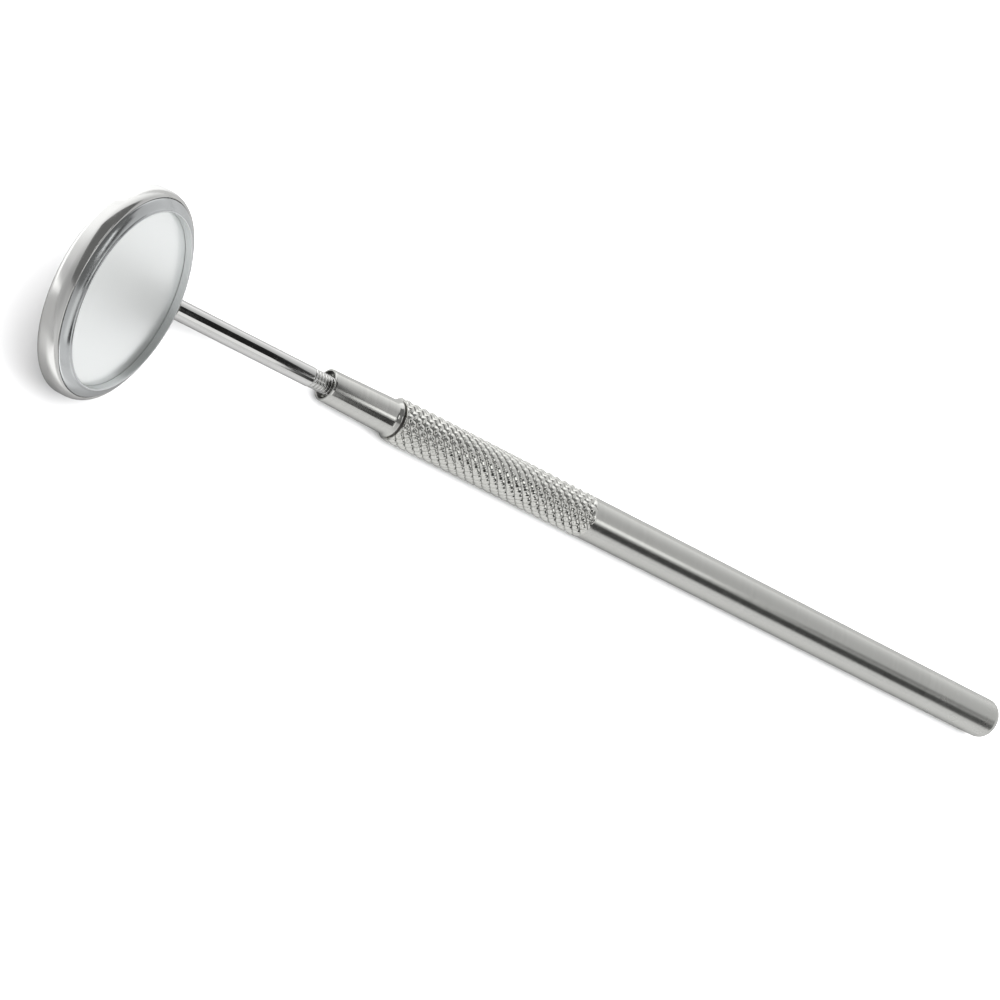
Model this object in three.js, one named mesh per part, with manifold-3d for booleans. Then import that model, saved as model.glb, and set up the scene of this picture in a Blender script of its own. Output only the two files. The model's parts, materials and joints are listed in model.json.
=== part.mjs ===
// Dental mouth mirror: a round plane mirror in a crimped steel head, on a thin stem that screws into a
// knurled tubular handle. Millimetres. It lies on a table: the handle runs along X, with the mirror at -X.
import * as THREE from 'three';
import { mergeVertices } from 'three/addons/utils/BufferGeometryUtils.js';
import Module from 'manifold-3d';

const wasm = await Module();
wasm.setup();

// ---- driving dimensions ------------------------------------------------------------------------------

const CLEARANCE = 0.04; // between pieces that touch
const ROUND_STEPS = 4; // segments of a quarter turn in a profile
const HEAD_SIDES = 64;
const HANDLE_SIDES = 48;
const STEM_SIDES = 16;

// Handle, measured along its axis from the neck's mouth.
const HANDLE_RADIUS = 2.88;
const GRIP_RADIUS = 2.95; // over the crests of the knurl
const GRIP_FRONT = 10.95;
const GRIP_BACK = 44.6;
const REAR_SEAM = 107.6;
const HANDLE_END = 123.3;
const END_ROUNDING = 1.5;
const TUBE_BORE_RADIUS = 2.2;
const SEAM_WIDTH = 0.22;
const SEAM_DEPTH = 0.12;
const SPIGOT_LENGTH = 7;

// Neck.
const NECK_MOUTH_RADIUS = 2.12;
const NECK_BACK_RADIUS = 2.34;
const NECK_FLARE_RADIUS = 2.56;
const NECK_FLARE_LENGTH = 0.45;
const NECK_MOUTH_CHAMFER = 0.12;
const COUNTERSINK_RADIUS = 1.84;
const COUNTERSINK_DEPTH = 0.85;
const NECK_BORE_DEPTH = 9.2;

// Stem with its M2.5 x 0.45 thread.
const STEM_RADIUS = 1.3;
const THREAD_RADIUS = 1.25;
const THREAD_ROOT_RADIUS = 1.0;
const THREAD_PITCH = 0.45;
const THREAD_FRONT = -2.6;
const THREAD_BACK = 5.2;
const THREAD_RUN_OUT = 0.5;
const BORE_CLEARANCE = 0.05;

// Head. Radii are from the mirror's axis, and levels from the seam between the bezel and the cup.
const HEAD_CENTRE_X = -34.08;
const HEAD_CENTRE_Y = -0.15;
const HEAD_CENTRE_Z = 9.04;
const HEAD_TILT = THREE.MathUtils.degToRad(54.4); // from the handle's axis to the mirror's normal
const HEAD_SKEW = THREE.MathUtils.degToRad(6.3); // the normal's lean towards +Y, as seen along the stem
const VIEW_RADIUS = 11.05; // of the glass inside the bezel
const CREST_RADIUS = 11.35;
const CREST_LEVEL = 0.85;
const SEAM_RADIUS = 12.55;
const CUP_RADIUS = 13.25;
const CUP_SHOULDER_LEVEL = -1.3;
const CUP_BACK_LEVEL = -2.8;
const CUP_CORNER = 0.65;
const CUP_WALL = 0.35;
const GLASS_RADIUS = 11.9;
const GLASS_LEVEL = -0.13;
const GLASS_THICKNESS = 1.5;
const SILVER_THICKNESS = 0.05;
const PAINT_THICKNESS = 0.1;
const BEZEL_WALL = 0.42;
const BEZEL_SKIRT_LEVEL = -1.4;

// Weld pad between the stem's end and the head.
const STEM_TIP_X = -23.4;
const PAD_END_X = -28.2;
const PAD_TIP_RADIUS = 0.7;

// ---- materials ---------------------------------------------------------------------------------------

const steel = (color, roughness) => new THREE.MeshStandardMaterial({ color, roughness, metalness: 1 });
const plain = (color, roughness) => new THREE.MeshStandardMaterial({ color, roughness, metalness: 0 });

const MATERIALS = {
  glass: new THREE.MeshStandardMaterial({ color: 0xf2f5f3, roughness: 0.02, metalness: 0.9 }),
  silver: steel(0xe4e6e4, 0.05),
  paint: plain(0x5c5a57, 0.7),
  cement: plain(0xc9c5ba, 0.8),
  bezel: steel(0xb4b9be, 0.16),
  cup: steel(0xa9aaa4, 0.12),
  weld: steel(0xa3a39d, 0.3),
  stem: steel(0xc4c3bd, 0.08),
  neck: steel(0xb3b1aa, 0.28),
  tube: steel(0xb0aea8, 0.25),
  braze: steel(0x7c7a75, 0.45),
  plug: steel(0xb3b1ab, 0.22),
};

// ---- helpers -----------------------------------------------------------------------------------------

const points = (list) => list.map(([r, level]) => new THREE.Vector2(r, level));

// Quarter of an ellipse, from one point of a profile to another, bulging towards the corner point.
function rounded([r0, y0], [cornerR, cornerY], [r1, y1]) {
  const arc = [];
  for (let i = 0; i <= ROUND_STEPS; i += 1) {
    const a = (i / ROUND_STEPS) * (Math.PI / 2);
    const s = 1 - Math.cos(a);
    const t = 1 - Math.sin(a);
    arc.push([
      r1 * s + r0 * t + cornerR * (1 - s - t),
      y1 * s + y0 * t + cornerY * (1 - s - t),
    ]);
  }
  return arc;
}

// A profile of [radius, height] points, listed anticlockwise, turned about Y.
function turned(profile, sides) {
  return new THREE.LatheGeometry(points(profile), sides);
}

// The same about the handle's axis: heights of the profile run along +X.
function turnedAlongHandle(profile, sides) {
  return turned(profile, sides).rotateZ(-Math.PI / 2);
}

const HEAD_CENTRE = new THREE.Vector3(HEAD_CENTRE_X, HEAD_CENTRE_Y, HEAD_CENTRE_Z);
const HEAD_NORMAL = new THREE.Vector3(
  Math.cos(HEAD_TILT) * Math.cos(HEAD_SKEW),
  Math.sin(HEAD_SKEW),
  Math.sin(HEAD_TILT) * Math.cos(HEAD_SKEW),
);
const HEAD_TURN = new THREE.Quaternion().setFromUnitVectors(new THREE.Vector3(0, 1, 0), HEAD_NORMAL);

// The same about the mirror's axis, with levels along the mirror's normal.
function turnedInHead(profile) {
  return turned(profile, HEAD_SIDES)
    .applyQuaternion(HEAD_TURN)
    .translate(...HEAD_CENTRE);
}

function disc(radius, top, thickness) {
  const bottom = top - thickness;
  return turnedInHead([[0, bottom], [radius, bottom], [radius, top], [0, top]]);
}

function toManifold(geometry) {
  const bare = geometry.clone();
  bare.deleteAttribute('normal');
  bare.deleteAttribute('uv');
  const merged = mergeVertices(bare, 1e-4);
  const triangles = [];
  for (let i = 0; i < merged.index.count; i += 3) {
    const [a, b, c] = [0, 1, 2].map((k) => merged.index.getX(i + k));
    if (a !== b && b !== c && c !== a) triangles.push(a, b, c);
  }
  return new wasm.Manifold(new wasm.Mesh({
    numProp: 3,
    vertProperties: new Float32Array(merged.attributes.position.array),
    triVerts: new Uint32Array(triangles),
  }));
}

function toGeometry(manifold) {
  const mesh = manifold.getMesh();
  const geometry = new THREE.BufferGeometry();
  geometry.setAttribute('position', new THREE.BufferAttribute(mesh.vertProperties, 3));
  geometry.setIndex(new THREE.BufferAttribute(mesh.triVerts, 1));
  return geometry;
}

// ---- head --------------------------------------------------------------------------------------------

const GLASS_BACK = GLASS_LEVEL - GLASS_THICKNESS;
const SILVER_BACK = GLASS_BACK - CLEARANCE - SILVER_THICKNESS;
const PAINT_BACK = SILVER_BACK - CLEARANCE - PAINT_THICKNESS;
const FLOOR_LEVEL = CUP_BACK_LEVEL + CUP_WALL;

const mirrorGlass = () => disc(GLASS_RADIUS, GLASS_LEVEL, GLASS_THICKNESS);
const silverCoating = () => disc(GLASS_RADIUS, GLASS_BACK - CLEARANCE, SILVER_THICKNESS);
const coatingPaint = () => disc(GLASS_RADIUS, SILVER_BACK - CLEARANCE, PAINT_THICKNESS);

function cementBed() {
  const top = PAINT_BACK - CLEARANCE;
  return disc(GLASS_RADIUS, top, top - FLOOR_LEVEL - CLEARANCE);
}

// Conical front ring that stands proud of the glass, with a skirt inside the cup.
function bezelRing() {
  const outside = SEAM_RADIUS - CLEARANCE;
  const inside = outside - BEZEL_WALL;
  const underside = GLASS_LEVEL + CLEARANCE;
  return turnedInHead([
    [inside, BEZEL_SKIRT_LEVEL],
    [outside, BEZEL_SKIRT_LEVEL],
    [outside, 0],
    [CREST_RADIUS + 0.08, CREST_LEVEL - 0.06],
    ...rounded(
      [CREST_RADIUS + 0.05, CREST_LEVEL],
      [VIEW_RADIUS, CREST_LEVEL],
      [VIEW_RADIUS, CREST_LEVEL - 0.15],
    ),
    [VIEW_RADIUS, underside],
    [inside, underside],
    [inside, BEZEL_SKIRT_LEVEL],
  ]);
}

// Dish with a bulging wall, whose front edge is rolled in against the bezel's skirt.
function headCup() {
  const inner = CUP_RADIUS - CUP_WALL;
  const corner = CUP_RADIUS - CUP_CORNER;
  return turnedInHead([
    [0, CUP_BACK_LEVEL],
    ...rounded(
      [corner, CUP_BACK_LEVEL],
      [CUP_RADIUS, CUP_BACK_LEVEL],
      [CUP_RADIUS, CUP_BACK_LEVEL + CUP_CORNER],
    ),
    ...rounded([CUP_RADIUS, CUP_SHOULDER_LEVEL], [CUP_RADIUS, 0], [SEAM_RADIUS, 0]),
    [SEAM_RADIUS, -CUP_WALL],
    ...rounded([SEAM_RADIUS + 0.1, -CUP_WALL], [inner, -CUP_WALL], [inner, CUP_SHOULDER_LEVEL]),
    [inner, FLOOR_LEVEL + 0.2],
    [inner - 0.2, FLOOR_LEVEL],
    [0, FLOOR_LEVEL],
  ]);
}

// Cement packed between the bezel's skirt and the bulge of the cup.
function rimCement() {
  const inside = SEAM_RADIUS + CLEARANCE;
  const outside = CUP_RADIUS - CUP_WALL - CLEARANCE;
  return turnedInHead([
    [inside, BEZEL_SKIRT_LEVEL],
    [outside, BEZEL_SKIRT_LEVEL],
    [outside, CUP_SHOULDER_LEVEL],
    [inside + 0.1, -CUP_WALL - 0.12],
    [inside, -CUP_WALL - 0.12],
    [inside, BEZEL_SKIRT_LEVEL],
  ]);
}

// Weld metal that carries the stem's round end on under the cup, cut to the cup's outside.
function weldPad() {
  const start = STEM_TIP_X - CLEARANCE;
  const outside = CUP_RADIUS + CLEARANCE;
  const pad = turnedAlongHandle([
    [0, PAD_END_X],
    ...rounded([PAD_TIP_RADIUS, PAD_END_X], [STEM_RADIUS, PAD_END_X], [STEM_RADIUS, PAD_END_X + 1.6]),
    [STEM_RADIUS, start],
    [0, start],
  ], STEM_SIDES);
  const grown = turnedInHead([
    [0, CUP_BACK_LEVEL - CLEARANCE],
    ...rounded(
      [CUP_RADIUS - CUP_CORNER, CUP_BACK_LEVEL - CLEARANCE],
      [outside, CUP_BACK_LEVEL - CLEARANCE],
      [outside, CUP_BACK_LEVEL + CUP_CORNER],
    ),
    ...rounded([outside, CUP_SHOULDER_LEVEL], [outside, CLEARANCE], [SEAM_RADIUS, CLEARANCE]),
    [0, CLEARANCE],
  ]);
  return toGeometry(toManifold(pad).subtract(toManifold(grown)));
}

// ---- stem --------------------------------------------------------------------------------------------

// One pitch of the thread: [radius, share of the pitch].
const THREAD_FORM = [
  [THREAD_ROOT_RADIUS, 0],
  [THREAD_ROOT_RADIUS, 0.22],
  [THREAD_RADIUS, 0.55],
  [THREAD_RADIUS, 0.67],
];

// A screw surface whose rows follow the helix, so that one pitch needs only the corners of its form. The
// column after the last is the first one again, a pitch further on.
function screwBlank(start, length) {
  const rows = THREAD_FORM.length;
  const turns = Math.ceil(length / THREAD_PITCH) + 1;
  const lastRow = turns * rows;
  const position = [];
  const index = [];
  const at = (side, row) => (side === STEM_SIDES ? row + rows : side * (lastRow + rows + 1) + row);
  for (let side = 0; side < STEM_SIDES; side += 1) {
    const angle = (side / STEM_SIDES) * 2 * Math.PI;
    for (let row = 0; row <= lastRow + rows; row += 1) {
      const [radius, share] = THREAD_FORM[row % rows];
      const x = start + THREAD_PITCH * (Math.floor(row / rows) + share + side / STEM_SIDES);
      position.push(x, radius * Math.cos(angle), radius * Math.sin(angle));
    }
  }
  const front = position.length / 3;
  position.push(start + THREAD_PITCH / 2, 0, 0);
  position.push(start + THREAD_PITCH * (turns + 0.5), 0, 0);
  for (let side = 0; side < STEM_SIDES; side += 1) {
    for (let row = 0; row < lastRow; row += 1) {
      const [a, b, c, d] = [at(side, row), at(side + 1, row), at(side + 1, row + 1), at(side, row + 1)];
      index.push(a, b, c, a, c, d);
    }
    index.push(front, at(side + 1, 0), at(side, 0));
    index.push(front + 1, at(side, lastRow), at(side + 1, lastRow));
  }
  for (let row = 0; row < rows; row += 1) {
    index.push(front, row, row + 1);
    index.push(front + 1, at(0, lastRow + row + 1), at(0, lastRow + row));
  }
  const geometry = new THREE.BufferGeometry();
  geometry.setAttribute('position', new THREE.Float32BufferAttribute(position, 3));
  geometry.setIndex(index);
  return geometry;
}

// Plain rod, then the thread, which fades into the rod at its front and has a chamfered back end.
function stem() {
  const rod = turnedAlongHandle([
    [0, STEM_TIP_X],
    [STEM_RADIUS, STEM_TIP_X],
    [STEM_RADIUS, THREAD_FRONT],
    [THREAD_ROOT_RADIUS - 0.05, THREAD_FRONT + THREAD_RUN_OUT],
    [0, THREAD_FRONT + THREAD_RUN_OUT],
  ], STEM_SIDES);
  const envelope = turnedAlongHandle([
    [0, THREAD_FRONT - 0.4],
    [THREAD_RADIUS + 0.1, THREAD_FRONT - 0.4],
    [THREAD_RADIUS + 0.1, THREAD_BACK - 0.45],
    [THREAD_ROOT_RADIUS - 0.15, THREAD_BACK],
    [0, THREAD_BACK],
  ], STEM_SIDES);
  const length = THREAD_BACK - THREAD_FRONT + 3 * THREAD_PITCH;
  const blank = screwBlank(THREAD_FRONT - 2 * THREAD_PITCH, length);
  return toGeometry(toManifold(blank).intersect(toManifold(envelope)).add(toManifold(rod)));
}

// ---- handle ------------------------------------------------------------------------------------------

const SPIGOT_RADIUS = TUBE_BORE_RADIUS - CLEARANCE;
const NECK_END = GRIP_FRONT - SEAM_WIDTH - CLEARANCE;

function handleNeck() {
  const bore = THREAD_RADIUS + BORE_CLEARANCE;
  const tip = GRIP_FRONT + SPIGOT_LENGTH;
  return turnedAlongHandle([
    [0, NECK_BORE_DEPTH],
    [bore, NECK_BORE_DEPTH - 0.7],
    [bore, COUNTERSINK_DEPTH],
    [COUNTERSINK_RADIUS, 0],
    [NECK_MOUTH_RADIUS - NECK_MOUTH_CHAMFER, 0],
    [NECK_MOUTH_RADIUS, NECK_MOUTH_CHAMFER],
    [NECK_BACK_RADIUS, NECK_END - NECK_FLARE_LENGTH],
    [NECK_FLARE_RADIUS, NECK_END],
    [SPIGOT_RADIUS, NECK_END],
    [SPIGOT_RADIUS, tip - 0.3],
    [SPIGOT_RADIUS - 0.3, tip],
    [0, tip],
  ], HANDLE_SIDES);
}

// Tube with the grip rolled into its front end, a little larger than the rest.
function handleTube() {
  const back = REAR_SEAM - SEAM_WIDTH / 2 - CLEARANCE;
  return turnedAlongHandle([
    [TUBE_BORE_RADIUS, GRIP_FRONT],
    [GRIP_RADIUS - 0.25, GRIP_FRONT],
    [GRIP_RADIUS, GRIP_FRONT + 0.25],
    [GRIP_RADIUS, GRIP_BACK - 0.4],
    [HANDLE_RADIUS, GRIP_BACK],
    [HANDLE_RADIUS, back],
    [TUBE_BORE_RADIUS, back],
    [TUBE_BORE_RADIUS, GRIP_FRONT],
  ], HANDLE_SIDES);
}

// Filler metal in the groove between the tube and a plug.
function brazeRing(middle, radius) {
  const [front, back] = [middle - SEAM_WIDTH / 2, middle + SEAM_WIDTH / 2];
  const inside = TUBE_BORE_RADIUS + CLEARANCE;
  return turnedAlongHandle([
    [inside, front],
    [radius, front],
    [radius, back],
    [inside, back],
    [inside, front],
  ], HANDLE_SIDES);
}

function rearPlug() {
  const front = REAR_SEAM + SEAM_WIDTH / 2 + CLEARANCE;
  const tip = REAR_SEAM - SPIGOT_LENGTH;
  return turnedAlongHandle([
    [0, tip],
    [SPIGOT_RADIUS - 0.3, tip],
    [SPIGOT_RADIUS, tip + 0.3],
    [SPIGOT_RADIUS, front],
    [HANDLE_RADIUS, front],
    ...rounded(
      [HANDLE_RADIUS, HANDLE_END - END_ROUNDING],
      [HANDLE_RADIUS, HANDLE_END],
      [HANDLE_RADIUS - END_ROUNDING, HANDLE_END],
    ),
    [0, HANDLE_END],
  ], HANDLE_SIDES);
}

// ---- assembly ----------------------------------------------------------------------------------------

// The instrument rests on the crests of its grip and on the rounded back edge of the cup. The roll that
// lays both on the table is found by halving: rolled further, the cup's edge sinks below the grip.
function restingRoll() {
  const edgeCentre = HEAD_CENTRE.clone().addScaledVector(HEAD_NORMAL, CUP_BACK_LEVEL + CUP_CORNER);
  let [low, high] = [0, Math.PI / 2];
  for (let i = 0; i < 40; i += 1) {
    const roll = (low + high) / 2;
    const up = new THREE.Vector3(0, Math.sin(roll), Math.cos(roll));
    const slope = Math.sqrt(1 - HEAD_NORMAL.dot(up) ** 2);
    const lowest = edgeCentre.dot(up) - (CUP_RADIUS - CUP_CORNER) * slope - CUP_CORNER;
    if (lowest > -GRIP_RADIUS) low = roll;
    else high = roll;
  }
  return low;
}

const FRONT_SEAM = GRIP_FRONT - CLEARANCE - SEAM_WIDTH / 2;

const PIECES = [
  ['mirror_glass', mirrorGlass(), MATERIALS.glass],
  ['silver_coating', silverCoating(), MATERIALS.silver],
  ['coating_paint', coatingPaint(), MATERIALS.paint],
  ['cement_bed', cementBed(), MATERIALS.cement],
  ['bezel_ring', bezelRing(), MATERIALS.bezel],
  ['rim_cement', rimCement(), MATERIALS.cement],
  ['head_cup', headCup(), MATERIALS.cup],
  ['weld_pad', weldPad(), MATERIALS.weld],
  ['stem', stem(), MATERIALS.stem],
  ['handle_neck', handleNeck(), MATERIALS.neck],
  ['front_braze_ring', brazeRing(FRONT_SEAM, NECK_FLARE_RADIUS - SEAM_DEPTH), MATERIALS.braze],
  ['handle_tube', handleTube(), MATERIALS.tube],
  ['rear_braze_ring', brazeRing(REAR_SEAM, HANDLE_RADIUS - SEAM_DEPTH / 2), MATERIALS.braze],
  ['rear_plug', rearPlug(), MATERIALS.plug],
];

const instrument = new THREE.Group();
instrument.rotation.x = restingRoll();
for (const [name, geometry, material] of PIECES) {
  const mesh = new THREE.Mesh(geometry, material);
  mesh.name = name;
  instrument.add(mesh);
}

// The origin is the centre of the footprint, on the table.
const mouthMirror = new THREE.Group();
mouthMirror.add(instrument);
mouthMirror.updateMatrixWorld(true);
const box = new THREE.Box3().setFromObject(mouthMirror, true);
const footprint = box.getCenter(new THREE.Vector3());
instrument.position.set(-footprint.x, -footprint.y, -box.min.z);

export default mouthMirror;
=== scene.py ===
"""Looks of a dental mouth mirror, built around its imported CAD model. Lengths are in metres."""

import json
import math

import bmesh
import bpy
import numpy as np
from mathutils import Matrix, Vector


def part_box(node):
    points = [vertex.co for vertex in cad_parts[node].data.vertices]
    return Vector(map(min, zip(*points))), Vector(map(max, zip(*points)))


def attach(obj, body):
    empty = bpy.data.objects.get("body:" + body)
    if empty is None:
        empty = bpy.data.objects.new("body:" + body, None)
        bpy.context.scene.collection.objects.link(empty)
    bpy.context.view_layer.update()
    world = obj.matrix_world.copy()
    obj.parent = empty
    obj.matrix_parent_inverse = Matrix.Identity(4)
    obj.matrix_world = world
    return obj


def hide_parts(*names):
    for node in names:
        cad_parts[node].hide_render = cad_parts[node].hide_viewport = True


MM = 0.001
TAU = 2 * math.pi

# ---- sizes, in millimetres, as the CAD model has them but for the flare's length ----------------------

# Handle, measured along its axis from the neck's mouth.
HANDLE_RADIUS = 2.88
GRIP_RADIUS = 2.95
GRIP_FRONT = 10.95
GRIP_BACK = 44.6
TUBE_BORE = 2.2
END_ROUNDING = 1.5

NECK_MOUTH = 2.12
NECK_BACK = 2.34
NECK_FLARE = 2.56
FLARE_LENGTH = 0.65  # the CAD model's is 0.45
COUNTERSINK = 1.84
COUNTERSINK_DEPTH = 0.85
BORE = 1.3
BORE_DEPTH = 9.2

STEM_RADIUS = 1.3
THREAD_RADIUS = 1.25
THREAD_ROOT = 1.0
THREAD_PITCH = 0.45
THREAD_BACK = 5.2
THREAD_SEEN = -2.45  # where the thread begins to show, in front of the neck's mouth
PAD_LENGTH = 4.8

# Head: radii from the mirror's axis, levels from the seam between the bezel and the cup.
VIEW_RADIUS = 11.05
CREST_RADIUS = 11.35
CREST_LEVEL = 0.85
SEAM_RADIUS = 12.55
CUP_RADIUS = 13.25
CUP_SHOULDER = -1.3
CUP_BACK = -2.8
CUP_CORNER = 0.65
CUP_WALL = 0.35
GLASS_RADIUS = 11.9
GLASS_LEVEL = -0.13
GLASS_THICKNESS = 1.5
BEZEL_WALL = 0.42
BEZEL_SKIRT = -1.4
CLEARANCE = 0.04

# Knurl: two families of rolled grooves that cross. The left-handed roll tracked twice in the middle.
KNURL_STARTS = 12
RIGHT_PITCH = 1.43
LEFT_PITCH = 1.335
RIGHT_DEPTH = 0.26
LEFT_DEPTH = 0.2
SECOND_TRACK_DEPTH = 0.06
KNURL_STEPS = 18  # rows of the mesh to a pitch

HEAD_SIDES = 256
HANDLE_SIDES = KNURL_STARTS * KNURL_STEPS
STEM_SIDES = 96
ARC_STEPS = 10

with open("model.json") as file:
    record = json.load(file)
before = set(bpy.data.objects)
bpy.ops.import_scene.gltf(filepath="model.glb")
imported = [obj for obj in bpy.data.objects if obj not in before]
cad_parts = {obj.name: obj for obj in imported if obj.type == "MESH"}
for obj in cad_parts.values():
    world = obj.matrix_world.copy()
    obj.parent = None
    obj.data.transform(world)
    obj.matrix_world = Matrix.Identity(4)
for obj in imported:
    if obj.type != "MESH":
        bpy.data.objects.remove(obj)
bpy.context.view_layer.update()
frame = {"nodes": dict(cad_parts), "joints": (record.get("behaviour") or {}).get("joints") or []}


# ---- places, from the frame --------------------------------------------------------------------------

def along(direction, origin):
    """A local frame whose Z axis lies along direction."""
    turn = Vector(direction).to_track_quat("Z", "Y").to_matrix().to_4x4()
    return Matrix.Translation(origin) @ turn


def middle(node):
    low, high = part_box(node)
    return (low + high) / 2


def disc_normal(node):
    """The way a thin disc faces: the direction in which its corners spread least, pointing up."""
    corners = np.array([v.co for v in frame["nodes"][node].data.vertices])
    spread = np.linalg.svd(corners - corners.mean(0), full_matrices=False)[2]
    normal = Vector(spread[2])
    return normal if normal.z > 0 else -normal


screw = next(j for j in frame["joints"] if j["name"] == "thread_turn")
MOUTH = Vector(screw["pos_m"])
HANDLE = along((1, 0, 0), MOUTH)

NORMAL = disc_normal("silver_coating")
SEAM_CENTRE = middle("mirror_glass") - NORMAL * (GLASS_LEVEL - GLASS_THICKNESS / 2) * MM
HEAD = along(NORMAL, SEAM_CENTRE)


def along_handle(x):
    """Distance of a place in the row frame from the neck's mouth, in millimetres."""
    return (x - MOUTH.x) / MM


STEM_TIP = along_handle(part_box("stem")[0].x)
TUBE_BACK = along_handle(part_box("handle_tube")[1].x)
PLUG_END = along_handle(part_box("rear_plug")[1].x)


# ---- mesh helpers ------------------------------------------------------------------------------------

def rounded(start, corner, end, steps=ARC_STEPS):
    """Quarter of an ellipse between two points of a profile, bulging towards the corner point."""
    points = []
    for i in range(steps + 1):
        angle = i / steps * TAU / 4
        s, t = 1 - math.cos(angle), 1 - math.sin(angle)
        weights = (t, 1 - s - t, s)
        points.append(tuple(
            sum(w * p[k] for w, p in zip(weights, (start, corner, end))) for k in (0, 1)
        ))
    return points


def straight(start, end, steps):
    """Points between start and end, with both of them."""
    shares = np.linspace(0, 1, steps + 1)
    return [tuple(np.array(start) * (1 - s) + np.array(end) * s) for s in shares]


def convex(start, end, rise, steps):
    """The same, bulging by rise in the middle, to the right of the way from start to end."""
    way = np.array(end) - np.array(start)
    side = np.array((way[1], -way[0])) / np.hypot(*way)
    return [
        tuple(np.array(p) + side * rise * 4 * i / steps * (1 - i / steps))
        for i, p in enumerate(straight(start, end, steps))
    ]


def mesh_object(name, vertices, faces, place, sharp=30):
    """The place is baked into the mesh, so that its local axes are those of the row frame."""
    mesh = bpy.data.meshes.new(name)
    mesh.from_pydata(vertices, [], faces)
    work = bmesh.new()
    work.from_mesh(mesh)
    bmesh.ops.remove_doubles(work, verts=work.verts, dist=1e-8)
    bmesh.ops.recalc_face_normals(work, faces=work.faces)
    work.to_mesh(mesh)
    work.free()
    mesh.transform(place)
    mesh.shade_smooth()
    mesh.set_sharp_from_angle(angle=math.radians(sharp))
    piece = bpy.data.objects.new(name, mesh)
    bpy.context.scene.collection.objects.link(piece)
    return piece


def turned(name, rings, sides, place, sharp=30):
    """A surface of rings about local Z. A ring is (radius, level) in millimetres, where either may be an
    array with a value for each side. The profile closes on itself, or starts and ends on the axis."""
    turns = np.arange(sides) / sides * TAU
    vertices, starts, pole = [], [], []
    for radius, level in rings:
        starts.append(len(vertices))
        pole.append(np.ndim(radius) == 0 and radius == 0)
        if pole[-1]:
            vertices.append((0, 0, level * MM))
            continue
        columns = np.stack(np.broadcast_arrays(
            radius * np.cos(turns), radius * np.sin(turns), level
        ), axis=1)
        vertices.extend(map(tuple, columns * MM))
    faces = []
    pairs = list(zip(range(len(rings) - 1), range(1, len(rings))))
    if not pole[0]:
        pairs.append((len(rings) - 1, 0))
    for low, high in pairs:
        for side in range(sides):
            after = (side + 1) % sides
            if pole[low]:
                face = (starts[low], starts[high] + after, starts[high] + side)
            elif pole[high]:
                face = (starts[low] + side, starts[low] + after, starts[high])
            else:
                face = (
                    starts[low] + side, starts[low] + after,
                    starts[high] + after, starts[high] + side,
                )
            faces.append(face)
    return mesh_object(name, vertices, faces, place, sharp)


# ---- materials ---------------------------------------------------------------------------------------

EDGE_TINT = 0.72  # how much of the light at grazing angles the metals reflect


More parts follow.
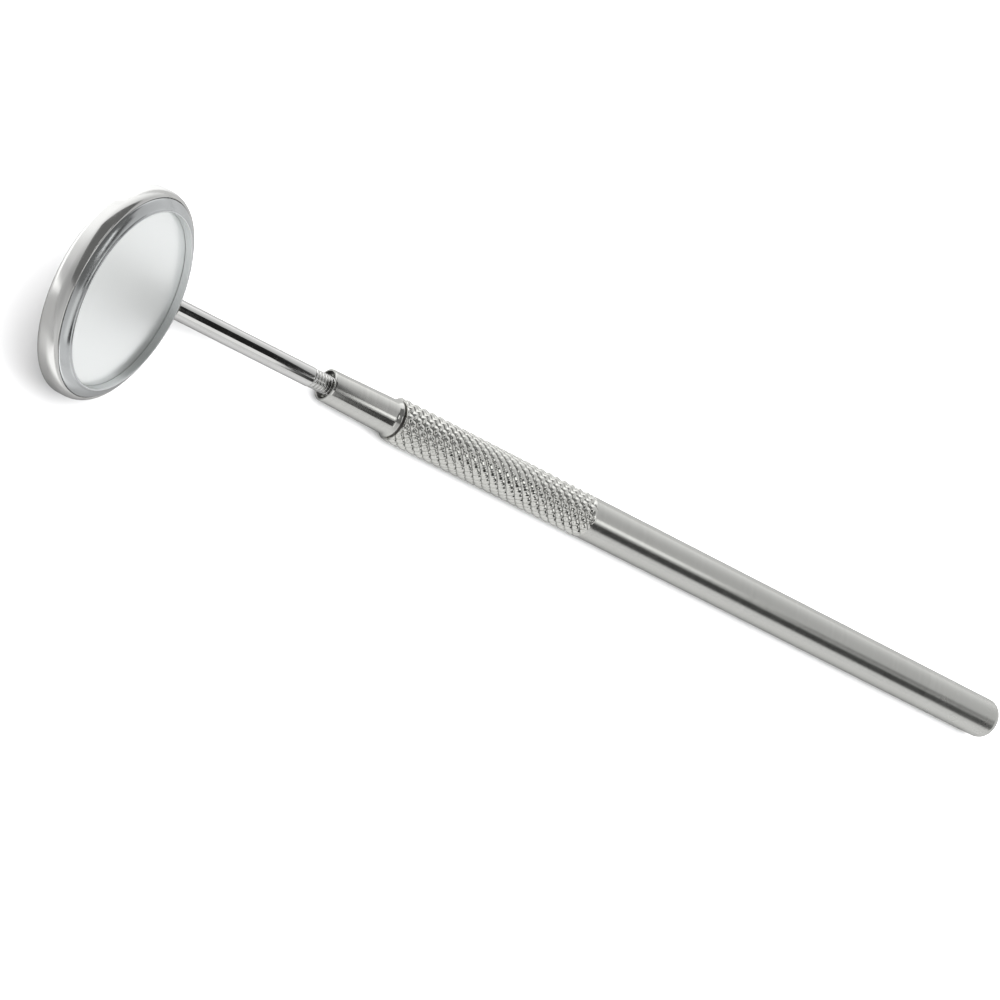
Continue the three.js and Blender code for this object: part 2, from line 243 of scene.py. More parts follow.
class Nodes:
    """A few shorthands for building one material's node tree."""

    def __init__(self, name, place=None):
        """With a place, its local axes are the ones that patterns follow."""
        self.material = bpy.data.materials.new(name)
        self.material.use_nodes = True
        self.tree = self.material.node_tree
        self.tree.nodes.clear()
        self.shader = self.add("ShaderNodeBsdfPrincipled")
        output = self.add("ShaderNodeOutputMaterial")
        self.link(self.shader.outputs["BSDF"], output.inputs["Surface"])
        self.place = self.add("ShaderNodeTexCoord").outputs["Object"]
        if place is not None:
            inverse = place.inverted()
            mapping = self.add("ShaderNodeMapping")
            mapping.inputs["Location"].default_value = inverse.to_translation()
            mapping.inputs["Rotation"].default_value = inverse.to_euler()
            self.link(self.place, mapping.inputs["Vector"])
            self.place = mapping.outputs["Vector"]

    def add(self, kind, **settings):
        node = self.tree.nodes.new(kind)
        for key, value in settings.items():
            setattr(node, key, value)
        return node

    def link(self, source, target):
        self.tree.links.new(source, target)

    def noise(self, scale, detail=2.0, rough=0.5, stretch=(1, 1, 1), place=None):
        """Noise with scale features to the metre, stretched along the axes whose factor is small."""
        mapping = self.add("ShaderNodeMapping")
        mapping.inputs["Scale"].default_value = stretch
        self.link(place or self.place, mapping.inputs["Vector"])
        node = self.add("ShaderNodeTexNoise")
        node.inputs["Scale"].default_value = scale
        node.inputs["Detail"].default_value = detail
        node.inputs["Roughness"].default_value = rough
        self.link(mapping.outputs["Vector"], node.inputs["Vector"])
        return node.outputs["Fac"]

    def ramp(self, value, low, high, from_low=0.3, from_high=0.7):
        node = self.add("ShaderNodeMapRange")
        node.inputs["From Min"].default_value = from_low
        node.inputs["From Max"].default_value = from_high
        node.inputs["To Min"].default_value = low
        node.inputs["To Max"].default_value = high
        self.link(value, node.inputs["Value"])
        return node.outputs["Result"]

    def blend(self, value, low, high, from_low=0.3, from_high=0.7):
        """A colour between low and high by value."""
        node = self.add("ShaderNodeMix", data_type="RGBA")
        node.inputs["A"].default_value = (*low, 1)
        node.inputs["B"].default_value = (*high, 1)
        self.link(self.ramp(value, 0, 1, from_low, from_high), node.inputs["Factor"])
        return node.outputs["Result"]

    def bump(self, height, depth, below=None):
        """Adds relief of that depth in metres, over an earlier bump if below is given."""
        node = self.add("ShaderNodeBump")
        node.inputs["Distance"].default_value = depth
        self.link(height, node.inputs["Height"])
        if below is not None:
            self.link(below, node.inputs["Normal"])
        return node.outputs["Normal"]

    def polar(self):
        """(radius, 0, level) about local Z, so that noise makes rings."""
        split = self.add("ShaderNodeSeparateXYZ")
        self.link(self.place, split.inputs["Vector"])
        flat = self.add("ShaderNodeCombineXYZ")
        self.link(split.outputs["X"], flat.inputs["X"])
        self.link(split.outputs["Y"], flat.inputs["Y"])
        length = self.add("ShaderNodeVectorMath", operation="LENGTH")
        self.link(flat.outputs["Vector"], length.inputs[0])
        joined = self.add("ShaderNodeCombineXYZ")
        self.link(length.outputs["Value"], joined.inputs["X"])
        self.link(split.outputs["Z"], joined.inputs["Z"])
        return joined.outputs["Vector"]

    def math(self, operation, a, b=0.0):
        node = self.add("ShaderNodeMath", operation=operation)
        for socket, value in zip(node.inputs, (a, b)):
            if isinstance(value, (int, float)):
                socket.default_value = value
            else:
                self.link(value, socket)
        return node.outputs["Value"]

    def groove(self, pitch, sharpness):
        """The same as groove() below, in the material: 1 along the rolled grooves of one family."""
        split = self.add("ShaderNodeSeparateXYZ")
        self.link(self.place, split.inputs["Vector"])
        angle = self.math("ARCTAN2", split.outputs["Y"], split.outputs["X"])
        rise = self.math("SUBTRACT", split.outputs["Z"], GRIP_FRONT * MM)
        phase = self.math(
            "ADD", self.math("MULTIPLY", angle, KNURL_STARTS / 2),
            self.math("MULTIPLY", rise, math.pi / (pitch * MM)),
        )
        crest = self.math("POWER", self.math("ABSOLUTE", self.math("SINE", phase)), sharpness)
        return self.math("SUBTRACT", 1.0, crest)

    def finish(self, metallic, anisotropic=0.0):
        self.shader.inputs["Metallic"].default_value = metallic
        if metallic == 1.0:
            self.shader.inputs["Specular Tint"].default_value = (EDGE_TINT, EDGE_TINT, EDGE_TINT, 1)
        if anisotropic:
            self.shader.inputs["Anisotropic"].default_value = anisotropic
            self.shader.inputs["Anisotropic Rotation"].default_value = 0.25
            tangent = self.add("ShaderNodeTangent", direction_type="RADIAL", axis="X")
            self.link(tangent.outputs["Tangent"], self.shader.inputs["Tangent"])
        return self.material


def polished_steel(name, place, colour, dark, roughness, waviness):
    """Buffed stainless steel: soft waves in the reflection, and fine polishing rings."""
    n = Nodes(name, place)
    broad = n.noise(260, detail=3)
    rings = n.noise(9000, detail=1, place=n.polar())
    n.link(n.blend(broad, dark, colour), n.shader.inputs["Base Color"])
    n.link(n.ramp(broad, roughness * 0.7, roughness * 1.4), n.shader.inputs["Roughness"])
    relief = n.bump(broad, waviness)
    n.link(n.bump(rings, 0.3e-6, relief), n.shader.inputs["Normal"])
    return n.finish(1.0)


def turned_steel(name, colour, dark, roughness, line_depth):
    """Satin steel from a lathe: fine grooves about the handle's axis, with a few deeper ones."""
    n = Nodes(name, HANDLE)
    fine = n.noise(14000, detail=2, rough=0.6, stretch=(0.01, 0.01, 1))
    bands = n.noise(1700, detail=3, rough=0.6, stretch=(0.02, 0.02, 1))
    handling = n.noise(420, detail=5, rough=0.6)
    n.link(n.blend(bands, dark, colour, 0.25, 0.75), n.shader.inputs["Base Color"])
    n.link(n.ramp(handling, roughness * 0.92, roughness * 1.1), n.shader.inputs["Roughness"])
    relief = n.bump(bands, line_depth)
    relief = n.bump(fine, line_depth * 0.25, relief)
    n.link(relief, n.shader.inputs["Normal"])
    return n.finish(1.0, anisotropic=0.3)


def knurled_steel(name, colour, dark, roughness):
    """Rolled steel: torn and burnished crests, with painted shade, nearly black, along the bottoms of the
    grooves.
    """
    n = Nodes(name, HANDLE)
    torn = n.noise(5200, detail=6, rough=0.7)
    broad = n.noise(600, detail=3)
    right = n.groove(-RIGHT_PITCH, 0.45)
    left = n.groove(LEFT_PITCH, 0.6)
    # Painted shade: the base colour turns nearly black along the bottoms of both groove families.
    deep = n.math("MAXIMUM", right, n.math("MULTIPLY", left, 0.6))
    steel = n.blend(torn, dark, colour)
    shade = n.add("ShaderNodeMix", data_type="RGBA")
    n.link(n.ramp(deep, 0, 0.75, 0.5, 0.85), shade.inputs["Factor"])
    n.link(steel, shade.inputs["A"])
    shade.inputs["B"].default_value = (0.05, 0.05, 0.048, 1)
    n.link(shade.outputs["Result"], n.shader.inputs["Base Color"])
    n.link(n.ramp(broad, roughness * 0.75, roughness * 1.3), n.shader.inputs["Roughness"])
    n.link(n.bump(torn, 1.2e-6), n.shader.inputs["Normal"])
    return n.finish(1.0)


def silvered_glass(name):
    """Plane glass over silver, hazed by fine scratches and wiping."""
    n = Nodes(name, HEAD)
    wiped = n.noise(90, detail=3, rough=0.5, stretch=(1, 0.35, 1))
    n.link(n.blend(wiped, (0.86, 0.88, 0.87), (0.90, 0.92, 0.91), 0, 1), n.shader.inputs["Base Color"])
    n.link(n.ramp(wiped, 0.27, 0.29, 0, 1), n.shader.inputs["Roughness"])
    return n.finish(0.96)


def dull(name, colour, dark, roughness, metallic, grain=2500):
    """Cement, paint or filler metal: grainy and matt."""
    n = Nodes(name)
    grains = n.noise(grain, detail=5, rough=0.65)
    n.link(n.blend(grains, dark, colour), n.shader.inputs["Base Color"])
    n.link(n.ramp(grains, roughness, min(1.0, roughness * 1.25)), n.shader.inputs["Roughness"])
    n.link(n.bump(grains, 12e-6), n.shader.inputs["Normal"])
    return n.finish(metallic)


GLASS = silvered_glass("silvered_glass")
BEZEL = polished_steel("bezel_steel", HEAD, (0.545, 0.56, 0.56), (0.50, 0.515, 0.515), 0.18, 1e-6)
# Painted light: the inner lip of the bezel ring gets a lighter, rougher copy of the ring's steel, for
# light falling on it.
PAINTED_LIGHT_LIP = polished_steel("bezel_lip_painted_light", HEAD, (0.76, 0.78, 0.775), (0.70, 0.72, 0.715), 0.36, 2e-6)
CUP = polished_steel("cup_steel", HEAD, (0.60, 0.60, 0.585), (0.56, 0.56, 0.545), 0.16, 1e-6)
STEM = polished_steel("stem_steel", HANDLE, (0.66, 0.66, 0.645), (0.62, 0.62, 0.605), 0.06, 1e-6)
NECK = turned_steel("neck_steel", (0.61, 0.612, 0.585), (0.54, 0.542, 0.517), 0.14, 0.6e-6)
TUBE = turned_steel("tube_steel", (0.58, 0.583, 0.555), (0.54, 0.543, 0.517), 0.24, 0.25e-6)
PLUG = turned_steel("plug_steel", (0.60, 0.603, 0.575), (0.56, 0.563, 0.537), 0.26, 0.25e-6)
GRIP = knurled_steel("knurled_steel", (0.70, 0.70, 0.665), (0.64, 0.64, 0.605), 0.13)
# Painted shade: the countersink and the mouth of the bore take a dark steel that stands in for the shade
# inside them.
BORE_SHADE = dull("bore_painted_shade", (0.17, 0.165, 0.16), (0.10, 0.10, 0.095), 0.4, 1.0)
WELD = dull("weld_steel", (0.55, 0.55, 0.53), (0.45, 0.45, 0.43), 0.30, 1.0)
BRAZE = dull("braze_metal", (0.20, 0.195, 0.19), (0.12, 0.115, 0.11), 0.45, 1.0)
SILVER = dull("deposited_silver", (0.90, 0.90, 0.89), (0.84, 0.84, 0.83), 0.12, 1.0)
PAINT = dull("backing_paint", (0.16, 0.155, 0.15), (0.11, 0.105, 0.10), 0.6, 0.0)
CEMENT = dull("cement", (0.62, 0.59, 0.53), (0.52, 0.49, 0.43), 0.75, 0.0)


# ---- head --------------------------------------------------------------------------------------------

def glass_disc():
    bevel = 0.08
    back = GLASS_LEVEL - GLASS_THICKNESS
    profile = [
        (0, back), (GLASS_RADIUS - bevel, back), (GLASS_RADIUS, back + bevel),
        (GLASS_RADIUS, GLASS_LEVEL - bevel), (GLASS_RADIUS - bevel, GLASS_LEVEL), (0, GLASS_LEVEL),
    ]
    return turned("glass_disc", profile, HEAD_SIDES, HEAD)


def bezel():
    """Conical ring with a rolled crest, a short lip down to the glass, and a skirt inside the cup."""
    outside = SEAM_RADIUS - CLEARANCE
    inside = outside - BEZEL_WALL
    underside = GLASS_LEVEL + CLEARANCE
    lip = 0.15
    profile = [
        (inside, BEZEL_SKIRT),
        (outside, BEZEL_SKIRT),
        *rounded((outside, -0.10), (outside, 0.02), (outside - 0.09, 0.12), 4),
        *convex((outside - 0.09, 0.12), (CREST_RADIUS + 0.14, CREST_LEVEL - 0.15), 0.05, 10)[1:],
        *rounded(
            (CREST_RADIUS + 0.11, CREST_LEVEL - 0.11), (CREST_RADIUS, CREST_LEVEL + 0.01),
            (CREST_RADIUS - lip, CREST_LEVEL), 6,
        ),
        *rounded(
            (VIEW_RADIUS + 0.12, CREST_LEVEL), (VIEW_RADIUS, CREST_LEVEL),
            (VIEW_RADIUS, CREST_LEVEL - lip), 6,
        ),
        (VIEW_RADIUS, underside),
        (inside, underside),
    ]
    return turned("bezel_lathe", profile, HEAD_SIDES, HEAD)


def cup_outside(grow=0.0):
    """Profile of the cup's outside, from the middle of its back to the rolled-in front edge."""
    corner = CUP_RADIUS - CUP_CORNER
    low, out = CUP_BACK - grow, CUP_RADIUS + grow
    return [
        (0, low),
        *straight((corner * 0.05, low), (corner, low), 12),
        *rounded((corner, low), (out, low), (out, CUP_BACK + CUP_CORNER))[1:],
        *rounded((out, CUP_SHOULDER), (out, grow), (SEAM_RADIUS, grow), 2 * ARC_STEPS),
    ]


def cup():
    """Pressed dish with a bulging wall, whose front edge is rolled in against the bezel's skirt."""
    inner = CUP_RADIUS - CUP_WALL
    floor = CUP_BACK + CUP_WALL
    edge = SEAM_RADIUS - 0.015
    profile = [
        *cup_outside()[:-1],
        (edge, -0.03),
        (edge, -CUP_WALL),
        *rounded((edge + 0.1, -CUP_WALL), (inner, -CUP_WALL), (inner, CUP_SHOULDER), 6),
        *rounded((inner, floor + 0.2), (inner, floor), (inner - 0.2, floor), 4),
        (0, floor),
    ]
    return turned("cup_lathe", profile, HEAD_SIDES, HEAD)


def cup_gap(point):
    """Distance of a place in the row frame from the cup's outside, in millimetres, below 0 inside it."""
    x, y, level = HEAD.inverted() @ point / MM
    radius = math.hypot(x, y)
    over = max(radius - (CUP_RADIUS - CUP_CORNER), 0)
    under = max(CUP_BACK + CUP_CORNER - level, 0)
    if over and under:
        return math.hypot(over, under) - CUP_CORNER
    return max(radius - CUP_RADIUS, CUP_BACK - level)


def weld():
    """The stem's round end carried on under the cup, in a bead of weld metal, cut to the cup."""
    tip = STEM_TIP - PAD_LENGTH
    bead_height, bead_width = 0.42, 0.38
    profile = [
        (0, tip),
        *rounded((0.05, tip), (STEM_RADIUS, tip), (STEM_RADIUS, tip + 1.6), 16),
        *straight((STEM_RADIUS, tip + 1.6), (STEM_RADIUS, STEM_TIP - CLEARANCE), 40)[1:],
        (0, STEM_TIP - CLEARANCE),
    ]
    turns = np.arange(STEM_SIDES) / STEM_SIDES * TAU
    rings = []
    for radius, level in profile:
        if radius == 0:
            rings.append((0, level))
            continue
        swell = []
        for turn in turns:
            local = Vector((radius * math.cos(turn), radius * math.sin(turn), level)) * MM
            gap = cup_gap(HANDLE @ local)
            ripple = 1 + 0.14 * math.sin(5 * turn) + 0.1 * math.sin(11 * turn + 2.1 * level)
            bead = bead_height * ripple * math.exp(-((max(gap, 0) / bead_width) ** 2))
            near_stem = min(max((STEM_TIP - CLEARANCE - level) / 0.7, 0), 1)
            swell.append(radius + bead * near_stem)
        rings.append((np.array(swell), level))
    pad = turned("weld_bead", rings, STEM_SIDES, HANDLE)
    cutter = turned("cutter", [*cup_outside(CLEARANCE), (0, CLEARANCE)], HEAD_SIDES, HEAD)
    cut = pad.modifiers.new("cut", "BOOLEAN")
    cut.operation = "DIFFERENCE"
    cut.solver = "EXACT"
    cut.object = cutter
    bpy.context.view_layer.update()
    result = bpy.data.meshes.new_from_object(pad.evaluated_get(bpy.context.evaluated_depsgraph_get()))
    pad.modifiers.clear()
    pad.data = result
    bpy.data.objects.remove(cutter)
    return pad


# ---- stem --------------------------------------------------------------------------------------------

def thread_form(share):
    """Depth of the thread at a share of its pitch, from 0 at the crest to 1 in the root."""
    distance = np.abs((share + 0.5) % 1.0 - 0.5) * 2
    slope = np.clip((distance - 0.16) / 0.58, 0, 1)
    return slope * slope * (3 - 2 * slope) * 0.35 + slope * 0.65


def stem():
    """Polished rod whose thread fades in over a turn and ends in a chamfer, hidden in the neck."""
    turns = np.arange(STEM_SIDES) / STEM_SIDES
    bevel = 0.06
    rings = [
        (0, STEM_TIP), (STEM_RADIUS - bevel, STEM_TIP), (STEM_RADIUS, STEM_TIP + bevel),
        *straight((STEM_RADIUS, STEM_TIP + 0.1), (STEM_RADIUS, THREAD_SEEN - 0.2), 12),
    ]
    step = THREAD_PITCH / 18
    depth = THREAD_RADIUS - THREAD_ROOT
    for level in np.arange(THREAD_SEEN - 0.15, THREAD_BACK - 0.45, step):
        fade = np.clip((level - THREAD_SEEN + 0.1) / 0.5, 0, 1)
        crest = STEM_RADIUS + (THREAD_RADIUS - STEM_RADIUS) * fade
        radius = crest - depth * fade * thread_form(level / THREAD_PITCH - turns)
        rings.append((radius, level))
    rings += [(THREAD_ROOT - 0.1, THREAD_BACK - 0.2), (THREAD_ROOT - 0.15, THREAD_BACK), (0, THREAD_BACK)]
    return turned("stem_rod", rings, STEM_SIDES, HANDLE, sharp=40)


# ---- handle ------------------------------------------------------------------------------------------

SEAM_WIDTH = 0.22
SPIGOT_LENGTH = 7
SPIGOT = TUBE_BORE - CLEARANCE
NECK_END = GRIP_FRONT - SEAM_WIDTH - CLEARANCE
FRONT_SUNKEN = 0.05  # the filler metal's face, under the groove's edges
REAR_SUNKEN = 0.0005  # dressed flush
BRAZE_REACH = 0.95  # how much of the clearance on each side the filler metal closes


def neck():
    """Tapered ferrule with a countersunk bore, a flared back edge and a spigot inside the tube."""
    chamfer = 0.12
    tip = GRIP_FRONT + SPIGOT_LENGTH
    flare_start = NECK_END - FLARE_LENGTH
    profile = [
        (0, BORE_DEPTH),
        (BORE, BORE_DEPTH - 0.7),
        *straight((BORE, BORE_DEPTH - 0.7), (BORE, COUNTERSINK_DEPTH + 0.05), 8)[1:],
        *straight((BORE + 0.03, COUNTERSINK_DEPTH), (COUNTERSINK, 0.03), 4),
        (COUNTERSINK + 0.03, 0),
        *rounded(
            (NECK_MOUTH - chamfer, 0), (NECK_MOUTH - 0.02, 0), (NECK_MOUTH, chamfer), 5
        ),
        *straight((NECK_MOUTH, chamfer), (NECK_BACK, flare_start), 40)[1:],
        *rounded(
            (NECK_BACK, flare_start), (NECK_BACK + 0.01, NECK_END - 0.5),
            (NECK_FLARE - 0.01, NECK_END - 0.09), 8,
        )[1:],
        *rounded(
            (NECK_FLARE - 0.01, NECK_END - 0.09), (NECK_FLARE, NECK_END),
            (NECK_FLARE - 0.04, NECK_END), 5,
        )[1:],
        (SPIGOT, NECK_END),
        (SPIGOT, tip - 0.3),
        (SPIGOT - 0.3, tip),
        (0, tip),
    ]
    return turned("neck_lathe", profile, HANDLE_SIDES, HANDLE)


def braze(name, middle_level, radius, sunken):
    """Filler metal between the pieces, with a slightly sunken, uneven face."""
    turns = np.arange(HANDLE_SIDES) / HANDLE_SIDES * TAU
    half = SEAM_WIDTH / 2 + CLEARANCE * BRAZE_REACH
    uneven = sunken * (0.24 * np.sin(7 * turns) + 0.2 * np.sin(17 * turns + 1.3))
    inside = TUBE_BORE + CLEARANCE
    rings = [(inside, middle_level - half), (radius - sunken * 0.4, middle_level - half)]
    for share in (-0.6, -0.2, 0.2, 0.6):
        sunk = sunken * (1.6 - share * share)
        rings.append((radius - sunk + uneven, middle_level + share * half))
    rings += [(radius - sunken * 0.4, middle_level + half), (inside, middle_level + half)]
    return turned(name, rings, HANDLE_SIDES, HANDLE)


def groove(phase, sharpness):
    """1 in the middle of a groove, at whole phases, and 0 on the rounded crest between two."""
    return 1 - np.abs(np.sin(math.pi * phase)) ** sharpness


def smooth_step(value, low, high):
    share = np.clip((value - low) / (high - low), 0, 1)
    return share * share * (3 - 2 * share)


def knurl_depth(level, turns):
    """How deep the rolled grooves are, in millimetres, round the grip at one level."""
    x = level - GRIP_FRONT
    length = GRIP_BACK - GRIP_FRONT
    share = x / length
    right = KNURL_STARTS * turns - x / RIGHT_PITCH
    left = KNURL_STARTS * turns + x / LEFT_PITCH
    doubled = smooth_step(share, 0.12, 0.32) * (1 - smooth_step(share, 0.52, 0.72))
    worn = 1 - 0.35 * np.exp(-(((share - 0.52) / 0.2) ** 2)) * (0.6 + 0.4 * np.sin(TAU * turns))
    ragged_end = 0.5 + 0.35 * np.sin(TAU * turns * 3 + 1) + 0.25 * np.sin(TAU * turns * 7)
    run_out = smooth_step(x, length - 2.0 + ragged_end * 0.5, length - 1.05)
    ends = smooth_step(x, -0.1, 0.35) * (1 - run_out)
    depth = RIGHT_DEPTH * groove(right, 0.4)
    depth = depth + LEFT_DEPTH * groove(left, 1.6) * (1 - 0.5 * doubled)
    depth = depth + SECOND_TRACK_DEPTH * groove(2 * left, 2) * doubled
    return depth * worn * ends


def tube():
    """Handle tube with the knurl rolled into its front end."""
    turns = np.arange(HANDLE_SIDES) / HANDLE_SIDES
    step = RIGHT_PITCH / KNURL_STEPS
    rings = [
        (TUBE_BORE, GRIP_FRONT),
        (GRIP_RADIUS - 0.2, GRIP_FRONT),
        (GRIP_RADIUS - 0.12, GRIP_FRONT + 0.03),
    ]
    for level in np.arange(GRIP_FRONT + 0.08, GRIP_BACK, step):
        x = level - GRIP_FRONT
        edge = 0.1 * (1 - smooth_step(x, 0, 0.25))
        back = (GRIP_RADIUS - HANDLE_RADIUS) * smooth_step(level, GRIP_BACK - 1.6, GRIP_BACK - 0.8)
        rings.append((GRIP_RADIUS - edge - back - knurl_depth(level, turns), level))
    rings += straight((HANDLE_RADIUS, GRIP_BACK + 0.05), (HANDLE_RADIUS, TUBE_BACK - 0.3), 8)
    rings += [(HANDLE_RADIUS, TUBE_BACK), (TUBE_BORE, TUBE_BACK)]
    return turned("knurled_tube", rings, HANDLE_SIDES, HANDLE, sharp=70)


def plug():
    front = TUBE_BACK + 2 * CLEARANCE + SEAM_WIDTH
    tip = TUBE_BACK + CLEARANCE + SEAM_WIDTH / 2 - SPIGOT_LENGTH
    profile = [
        (0, tip),
        (SPIGOT - 0.3, tip),
        (SPIGOT, tip + 0.3),
        (SPIGOT, front),
        (HANDLE_RADIUS, front),
        *straight((HANDLE_RADIUS, front + 0.5), (HANDLE_RADIUS, PLUG_END - END_ROUNDING), 12),
        *rounded(
            (HANDLE_RADIUS, PLUG_END - END_ROUNDING), (HANDLE_RADIUS, PLUG_END),
            (HANDLE_RADIUS - END_ROUNDING, PLUG_END),
        )[1:],
        (0, PLUG_END),
    ]
    return turned("plug_lathe", profile, HANDLE_SIDES, HANDLE)


# ---- assembly ----------------------------------------------------------------------------------------

def dress(piece, body, node, slot, *materials):
    for material in materials:
        piece.data.materials.append(material)
    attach(piece, body)
    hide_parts(node)
    return piece


def second_material(piece, place, chosen):
    """Faces whose radius and level about the place's Z axis are chosen take the second material."""
    inverse = place.inverted()
    for face in piece.data.polygons:
        offset = inverse @ face.center
        if chosen(math.hypot(offset.x, offset.y) / MM, offset.z / MM):
            face.material_index = 1


def on_knurl(radius, level):
    return GRIP_FRONT < level < GRIP_BACK - 1.15 and radius > TUBE_BORE + 0.1


# Faces in the countersink, which take the painted shade.
def in_bore(radius, level):
    return 0.02 < level < 0.45 and radius < COUNTERSINK - 0.02


# Faces of the bezel's inner lip, which take the painted light.
def on_lip(radius, level):
    return level > GLASS_LEVEL and radius < VIEW_RADIUS + 0.2


dress(glass_disc(), "head", "mirror_glass", "mirror_glass", GLASS)
ring = dress(bezel(), "head", "bezel_ring", "bezel_steel", BEZEL, PAINTED_LIGHT_LIP)
second_material(ring, HEAD, on_lip)
dress(cup(), "head", "head_cup", "cup_steel", CUP)
dress(weld(), "head", "weld_pad", "weld_steel", WELD)
dress(stem(), "stem", "stem", "stem_steel", STEM)
ferrule = dress(neck(), "handle", "handle_neck", "handle_steel", NECK, BORE_SHADE)
second_material(ferrule, HANDLE, in_bore)
dress(
    braze("front_braze", NECK_END + CLEARANCE / 2 + SEAM_WIDTH / 2, NECK_FLARE - 0.12, FRONT_SUNKEN),
    "handle", "front_braze_ring", "braze", BRAZE,
)
grip = dress(tube(), "handle", "handle_tube", "handle_steel", TUBE, GRIP)
second_material(grip, HANDLE, on_knurl)
dress(
    braze("rear_braze", TUBE_BACK + CLEARANCE + SEAM_WIDTH / 2, HANDLE_RADIUS - 0.001, REAR_SUNKEN),
    "handle", "rear_braze_ring", "braze", TUBE,
)
dress(plug(), "handle", "rear_plug", "handle_steel", PLUG)

CARRIED_OVER = {
    "silver_coating": (SILVER, "silver"),
    "coating_paint": (PAINT, "backing_paint"),
    "cement_bed": (CEMENT, "cement"),
    "rim_cement": (CEMENT, "cement"),
}
for node, (material, slot) in CARRIED_OVER.items():
    piece = frame["nodes"][node]
    piece.data.materials.clear()
    piece.data.materials.append(material)


# ---- studio ------------------------------------------------------------------------------------------

FAR_SIDE = (-0.45, 0.89, 0)  # from the head, the way that the room is brightest
MIRROR_END = (-0.92, -0.39, 0)  # the way that it is dimmest


def table(name, height, albedo):
    """A wide, dull, level surface, whose colour is what albedo makes with the material's nodes."""
    half = 4.0
    corners = [(-half, -half, height), (half, -half, height), (half, half, height), (-half, half, height)]
    top = mesh_object(name, corners, [(0, 1, 2, 3)], Matrix.Identity(4))
    n = Nodes(name)
    n.shader.inputs["Roughness"].default_value = 0.9
    n.shader.inputs["Specular IOR Level"].default_value = 0.0
    n.link(albedo(n), n.shader.inputs["Base Color"])
    top.data.materials.append(n.finish(0.0))
    return top


def towards(n, direction, near, far):
    """0 up to near metres from the middle of the frame in that direction, and 1 from far on."""
    distance = n.add("ShaderNodeVectorMath", operation="DOT_PRODUCT")
    distance.inputs[1].default_value = direction
    n.link(n.place, distance.inputs[0])
    grain = n.ramp(n.noise(40, detail=2), -0.002, 0.002)
    return n.ramp(n.math("ADD", grain, distance.outputs["Value"]), 0, 1, near, far)


def seen_albedo(n):
    """Pale, and a little less so under the head, where its shadow would burn out too."""
    return n.blend(towards(n, (-1, 0, 0), 0.046, 0.064), (0.9,) * 3, (0.6,) * 3, 0, 1)


def reflected_albedo(n):
    """Darker than the real floor, with painted shadow darker still around the head, and painted light
    around it: beyond it, and some way in front of it.
    """
    head = towards(n, (-1, 0, 0), 0.05, 0.062)
    beyond = towards(n, FAR_SIDE, 0.038, 0.055)
    in_front = towards(n, (0, -1, 0), 0.019, 0.028)
    past_end = towards(n, (-1, 0, 0), 0.082, 0.1)
    in_front = n.math("MULTIPLY", in_front, n.math("SUBTRACT", 1.0, past_end))
    bright = n.math("MULTIPLY", head, n.math("MAXIMUM", beyond, n.math("MULTIPLY", in_front, 0.75)))
    mix = n.add("ShaderNodeMix", data_type="RGBA")
    n.link(bright, mix.inputs["Factor"])
    # Painted shadow: the reflected floor turns darker still around the head; the bright mix below is
    # painted light.
    n.link(n.blend(head, (0.31,) * 3, (0.23,) * 3, 0, 1), mix.inputs["A"])
    mix.inputs["B"].default_value = (0.62, 0.62, 0.62, 1)
    return mix.outputs["Result"]


def floor():
    """The table, lit so strongly that it burns out to white, and a darker one in its place that only
    shows in reflections, where the steel would otherwise burn out too."""
    table("floor", 0, seen_albedo).visible_glossy = False
    reflected = table("reflected_floor", 0.00001, reflected_albedo)
    reflected.visible_camera = False
    reflected.visible_diffuse = False
    reflected.visible_shadow = False


def card(name, start, end, height_angle, distance, width, brightness):
    """A flag or reflector that only shows in reflections: a strip parallel to the handle, from start to
    end in millimetres from the neck's mouth, at an angle about the handle's axis from level at -Y."""
    angle = math.radians(height_angle)
    outward = Vector((0, -math.cos(angle), math.sin(angle)))
    across = Vector((0, math.sin(angle), math.cos(angle)))
    centre = MOUTH + outward * distance * MM
    corners = [
        centre + Vector((x * MM, 0, 0)) + across * side * width / 2 * MM
        for x, side in ((start, -1), (end, -1), (end, 1), (start, 1))
    ]
    strip = mesh_object(name, corners, [(0, 1, 2, 3)], Matrix.Identity(4))
    n = Nodes(name)
    n.shader.inputs["Base Color"].default_value = (0, 0, 0, 1)
    n.shader.inputs["Specular IOR Level"].default_value = 0.0
    n.shader.inputs["Emission Color"].default_value = (1, 1, 1, 1)
    n.shader.inputs["Emission Strength"].default_value = brightness
    strip.data.materials.append(n.finish(0.0))
    strip.visible_camera = False
    strip.visible_diffuse = False
    strip.visible_shadow = False


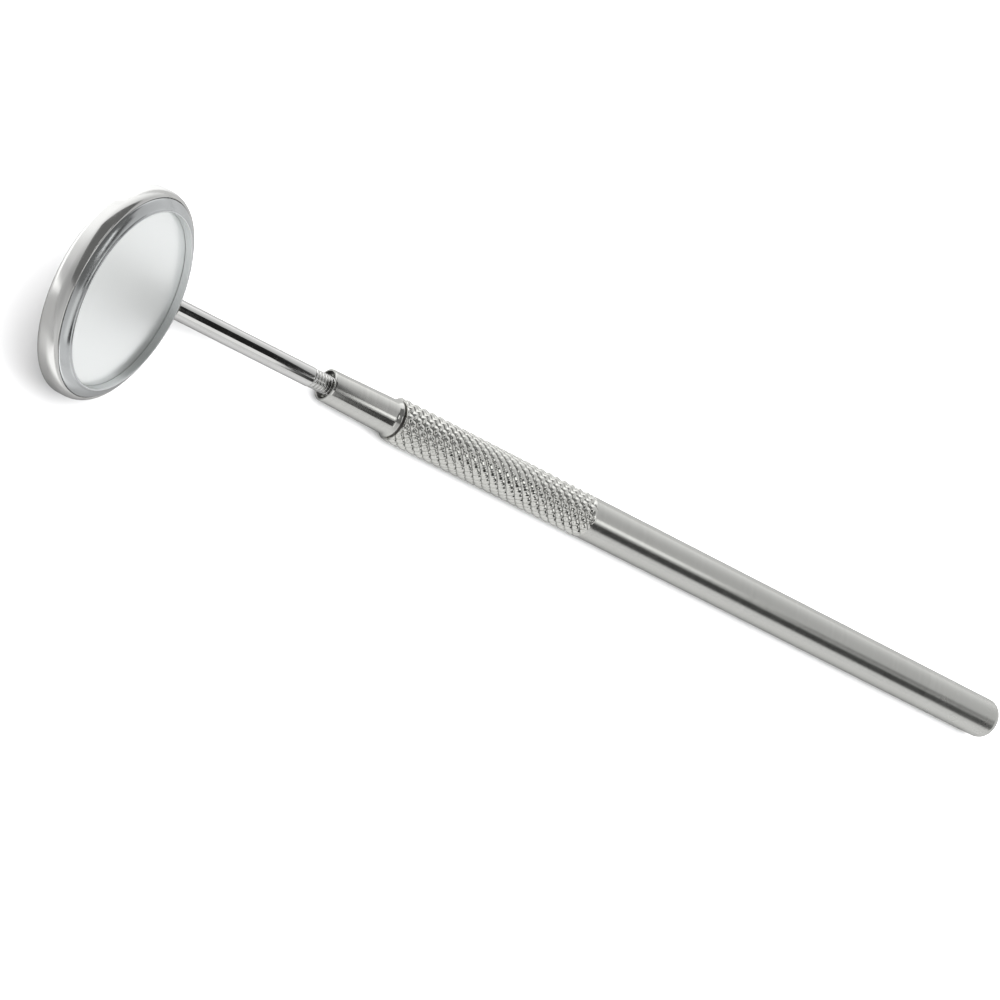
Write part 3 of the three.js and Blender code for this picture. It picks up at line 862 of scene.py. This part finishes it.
def sky():
    """A white room: greyer overhead and off the mirror's end, brightest beyond its far side."""
    world = bpy.data.worlds.new("studio")
    bpy.context.scene.world = world
    world.use_nodes = True
    tree = world.node_tree
    tree.nodes.clear()
    add, link = tree.nodes.new, tree.links.new
    direction = add("ShaderNodeTexCoord").outputs["Generated"]
    split = add("ShaderNodeSeparateXYZ")
    link(direction, split.inputs["Vector"])
    height = add("ShaderNodeValToRGB")
    stops = [(0.0, 0.95), (0.12, 0.92), (0.35, 0.78), (0.6, 0.70), (0.82, 0.58), (1.0, 0.85)]
    ramp = height.color_ramp
    ramp.interpolation = "EASE"
    while len(ramp.elements) < len(stops):
        ramp.elements.new(0.5)
    for element, (position, level) in zip(ramp.elements, stops):
        element.position = position
        element.color = (level, level, level * 1.01, 1)
    link(split.outputs["Z"], height.inputs["Fac"])

    def sideways(way, near, strength):
        """1 up to a share of near towards that side of the room, and strength straight towards it."""
        share = add("ShaderNodeVectorMath")
        share.operation = "DOT_PRODUCT"
        link(direction, share.inputs[0])
        share.inputs[1].default_value = way
        level = add("ShaderNodeMapRange")
        level.interpolation_type = "SMOOTHSTEP"
        level.inputs["From Min"].default_value = near
        level.inputs["From Max"].default_value = 1.0
        level.inputs["To Min"].default_value = 1.0
        level.inputs["To Max"].default_value = strength
        link(share.outputs["Value"], level.inputs["Value"])
        return level.outputs["Result"]

    both = add("ShaderNodeMath")
    both.operation = "MULTIPLY"
    link(sideways(FAR_SIDE, 0.1, 1.8), both.inputs[0])
    link(sideways(MIRROR_END, 0.4, 0.68), both.inputs[1])
    background = add("ShaderNodeBackground")
    link(height.outputs["Color"], background.inputs["Color"])
    link(both.outputs["Value"], background.inputs["Strength"])
    output = add("ShaderNodeOutputWorld")
    link(background.outputs["Background"], output.inputs["Surface"])


def lamp(name, place, size, power, colour):
    """A soft square lamp that looks at the middle of the object."""
    data = bpy.data.lights.new(name, "AREA")
    data.shape = "SQUARE"
    data.size = size
    data.energy = power
    data.color = colour
    light = bpy.data.objects.new(name, data)
    light.location = place
    light.rotation_euler = (-Vector(place)).to_track_quat("-Z", "Y").to_euler()
    light.visible_glossy = False
    bpy.context.scene.collection.objects.link(light)


def camera():
    """The photo's view: from the mirror's end, above and to the side, rolled so that the handle falls
    away to the lower right."""
    aim = MOUTH + Vector((29.95, -3.3, 0)) * MM
    distance = 436.12 * MM
    azimuth, elevation, roll = (math.radians(a) for a in (-61.268, 49.697, 80.944))
    back = Vector((
        math.sin(azimuth) * math.cos(elevation),
        -math.cos(azimuth) * math.cos(elevation),
        math.sin(elevation),
    ))
    right = Vector((0, 0, 1)).cross(back).normalized()
    level = Matrix((right, back.cross(right), back)).transposed()
    data = bpy.data.cameras.new("camera")
    data.sensor_width = 36
    data.lens = 123.93
    data.clip_start = 0.01
    data.clip_end = 20
    eye = bpy.data.objects.new("camera", data)
    turn = level @ Matrix.Rotation(roll, 3, "Z")
    eye.matrix_world = Matrix.Translation(aim + back * distance) @ turn.to_4x4()
    bpy.context.scene.collection.objects.link(eye)
    bpy.context.scene.camera = eye


floor()
sky()
card("flag_over_stem", 28, 58, 84, 99, 126, 0.02)
card("flag_over_head", -150, 28, 100, 103, 190, 0.2)
card("flag_beside_handle", 52, 260, 41, 100, 61, 0.03)
card("flag_over_end", 142, 260, 72, 100, 32, 0.25)
card("strip_over_handle", 58, 142, 74, 100, 26, 1.7)
card("strip_beside_stem", 8, 51, 41, 100, 61, 1.1)
card("strip_over_neck", 2, 14, 90, 97, 36, 1.8)
lamp("overhead", (-0.05, 0.2, 1.0), 1.8, 50.0, (0.995, 0.995, 1.0))
camera()

scene = bpy.context.scene
scene.view_settings.view_transform = "Standard"
